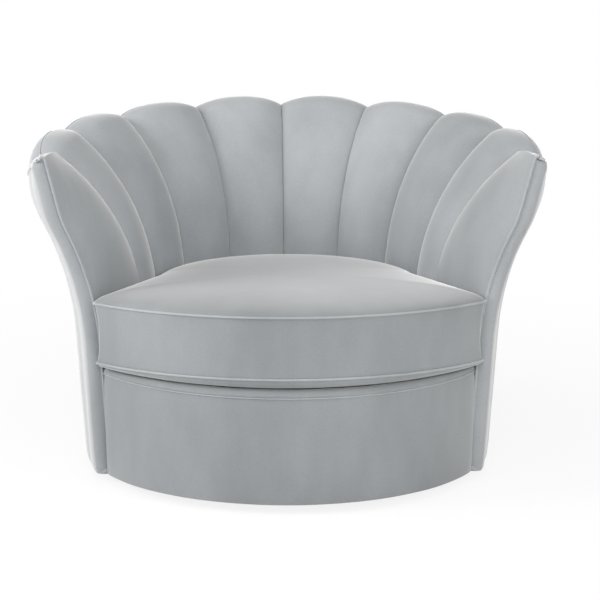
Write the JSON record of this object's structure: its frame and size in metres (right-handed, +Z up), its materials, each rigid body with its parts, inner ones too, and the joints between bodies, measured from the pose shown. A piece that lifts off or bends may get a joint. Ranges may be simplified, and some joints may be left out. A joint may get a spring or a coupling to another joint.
{
  "type": "cuddle chair",
  "caption": "Round swivel cuddle chair: a flared petal back of stuffed channels on a drum base, a loose boxed seat cushion and a hidden turntable underneath.",
  "frame": {"origin": "on the swivel axis, at the floor under the middle pad", "axes": "+Z up along the swivel axis, -Y the way the sitter faces, +X to the sitter's left"},
  "size_m": [1.1558, 1.0537, 0.7827],
  "materials": {
    "velvet": "napped pile, matte with a soft sheen",
    "welt_velvet": "napped pile",
    "plywood": "raw board",
    "hardboard": "raw board",
    "steel": "zinc plated",
    "ball_steel": "polished",
    "spring_steel": "oiled wire",
    "clip_plastic": "moulded",
    "cage_plastic": "moulded",
    "felt": "pressed felt",
    "deck_felt": "needled pad",
    "dust_cloth": "spun cloth",
    "foam": "open-cell foam"
  },
  "bodies": {
    "plinth": {"floor_pads": "felt", "base_disc": "plywood", "swivel_lower_plate": "steel", "lower_plate_screws": "steel"},
    "ball_ring": {"swivel_balls": "ball_steel", "ball_cage": "cage_plastic"},
    "chair": {"swivel_upper_plate": "steel", "upper_plate_bolts": "steel", "swivel_board": "plywood", "base_ring": "plywood", "dust_cover": "dust_cloth", "seat_posts": "plywood", "seat_ring": "plywood", "front_posts": "plywood", "front_rail": "plywood", "front_panel": "hardboard", "back_ribs": "plywood", "arm_posts": "plywood", "top_rail": "plywood", "seat_springs": "spring_steel", "spring_clips": "clip_plastic", "seat_deck": "deck_felt", "front_border": "velvet", "back_channel_01": "velvet", "back_channel_02": "velvet", "back_channel_03": "velvet", "back_channel_04": "velvet", "back_channel_05": "velvet", "back_channel_06": "velvet", "back_channel_07": "velvet", "back_channel_08": "velvet", "back_channel_09": "velvet", "back_channel_10": "velvet", "outside_back": "velvet", "outside_arm_right": "velvet", "outside_arm_left": "velvet", "arm_welt_right": "welt_velvet", "arm_welt_left": "welt_velvet", "rim_welt_back": "welt_velvet", "rim_welt_right": "welt_velvet", "rim_welt_left": "welt_velvet"},
    "seat_cushion": {"cushion_cover": "velvet", "cushion_core": "foam", "cushion_piping_top": "welt_velvet", "cushion_piping_bottom": "welt_velvet"}
  },
  "joints": [
    {"name": "swivel", "type": "hinge", "parent": "plinth", "child": "chair", "pos_m": [0, 0, 0.031], "axis": [0, 0, 1], "continuous": true},
    {"name": "ball_ring_turn", "type": "hinge", "parent": "plinth", "child": "ball_ring", "pos_m": [0, 0, 0.031], "axis": [0, 0, 1], "continuous": true},
    {"name": "cushion_lift", "type": "slide", "parent": "chair", "child": "seat_cushion", "axis": [0, 0, 1], "range_m": [0, 0.5]}
  ],
  "couplings": [
    {"joint": "ball_ring_turn", "follows": "swivel", "ratio": 0.5}
  ]
}
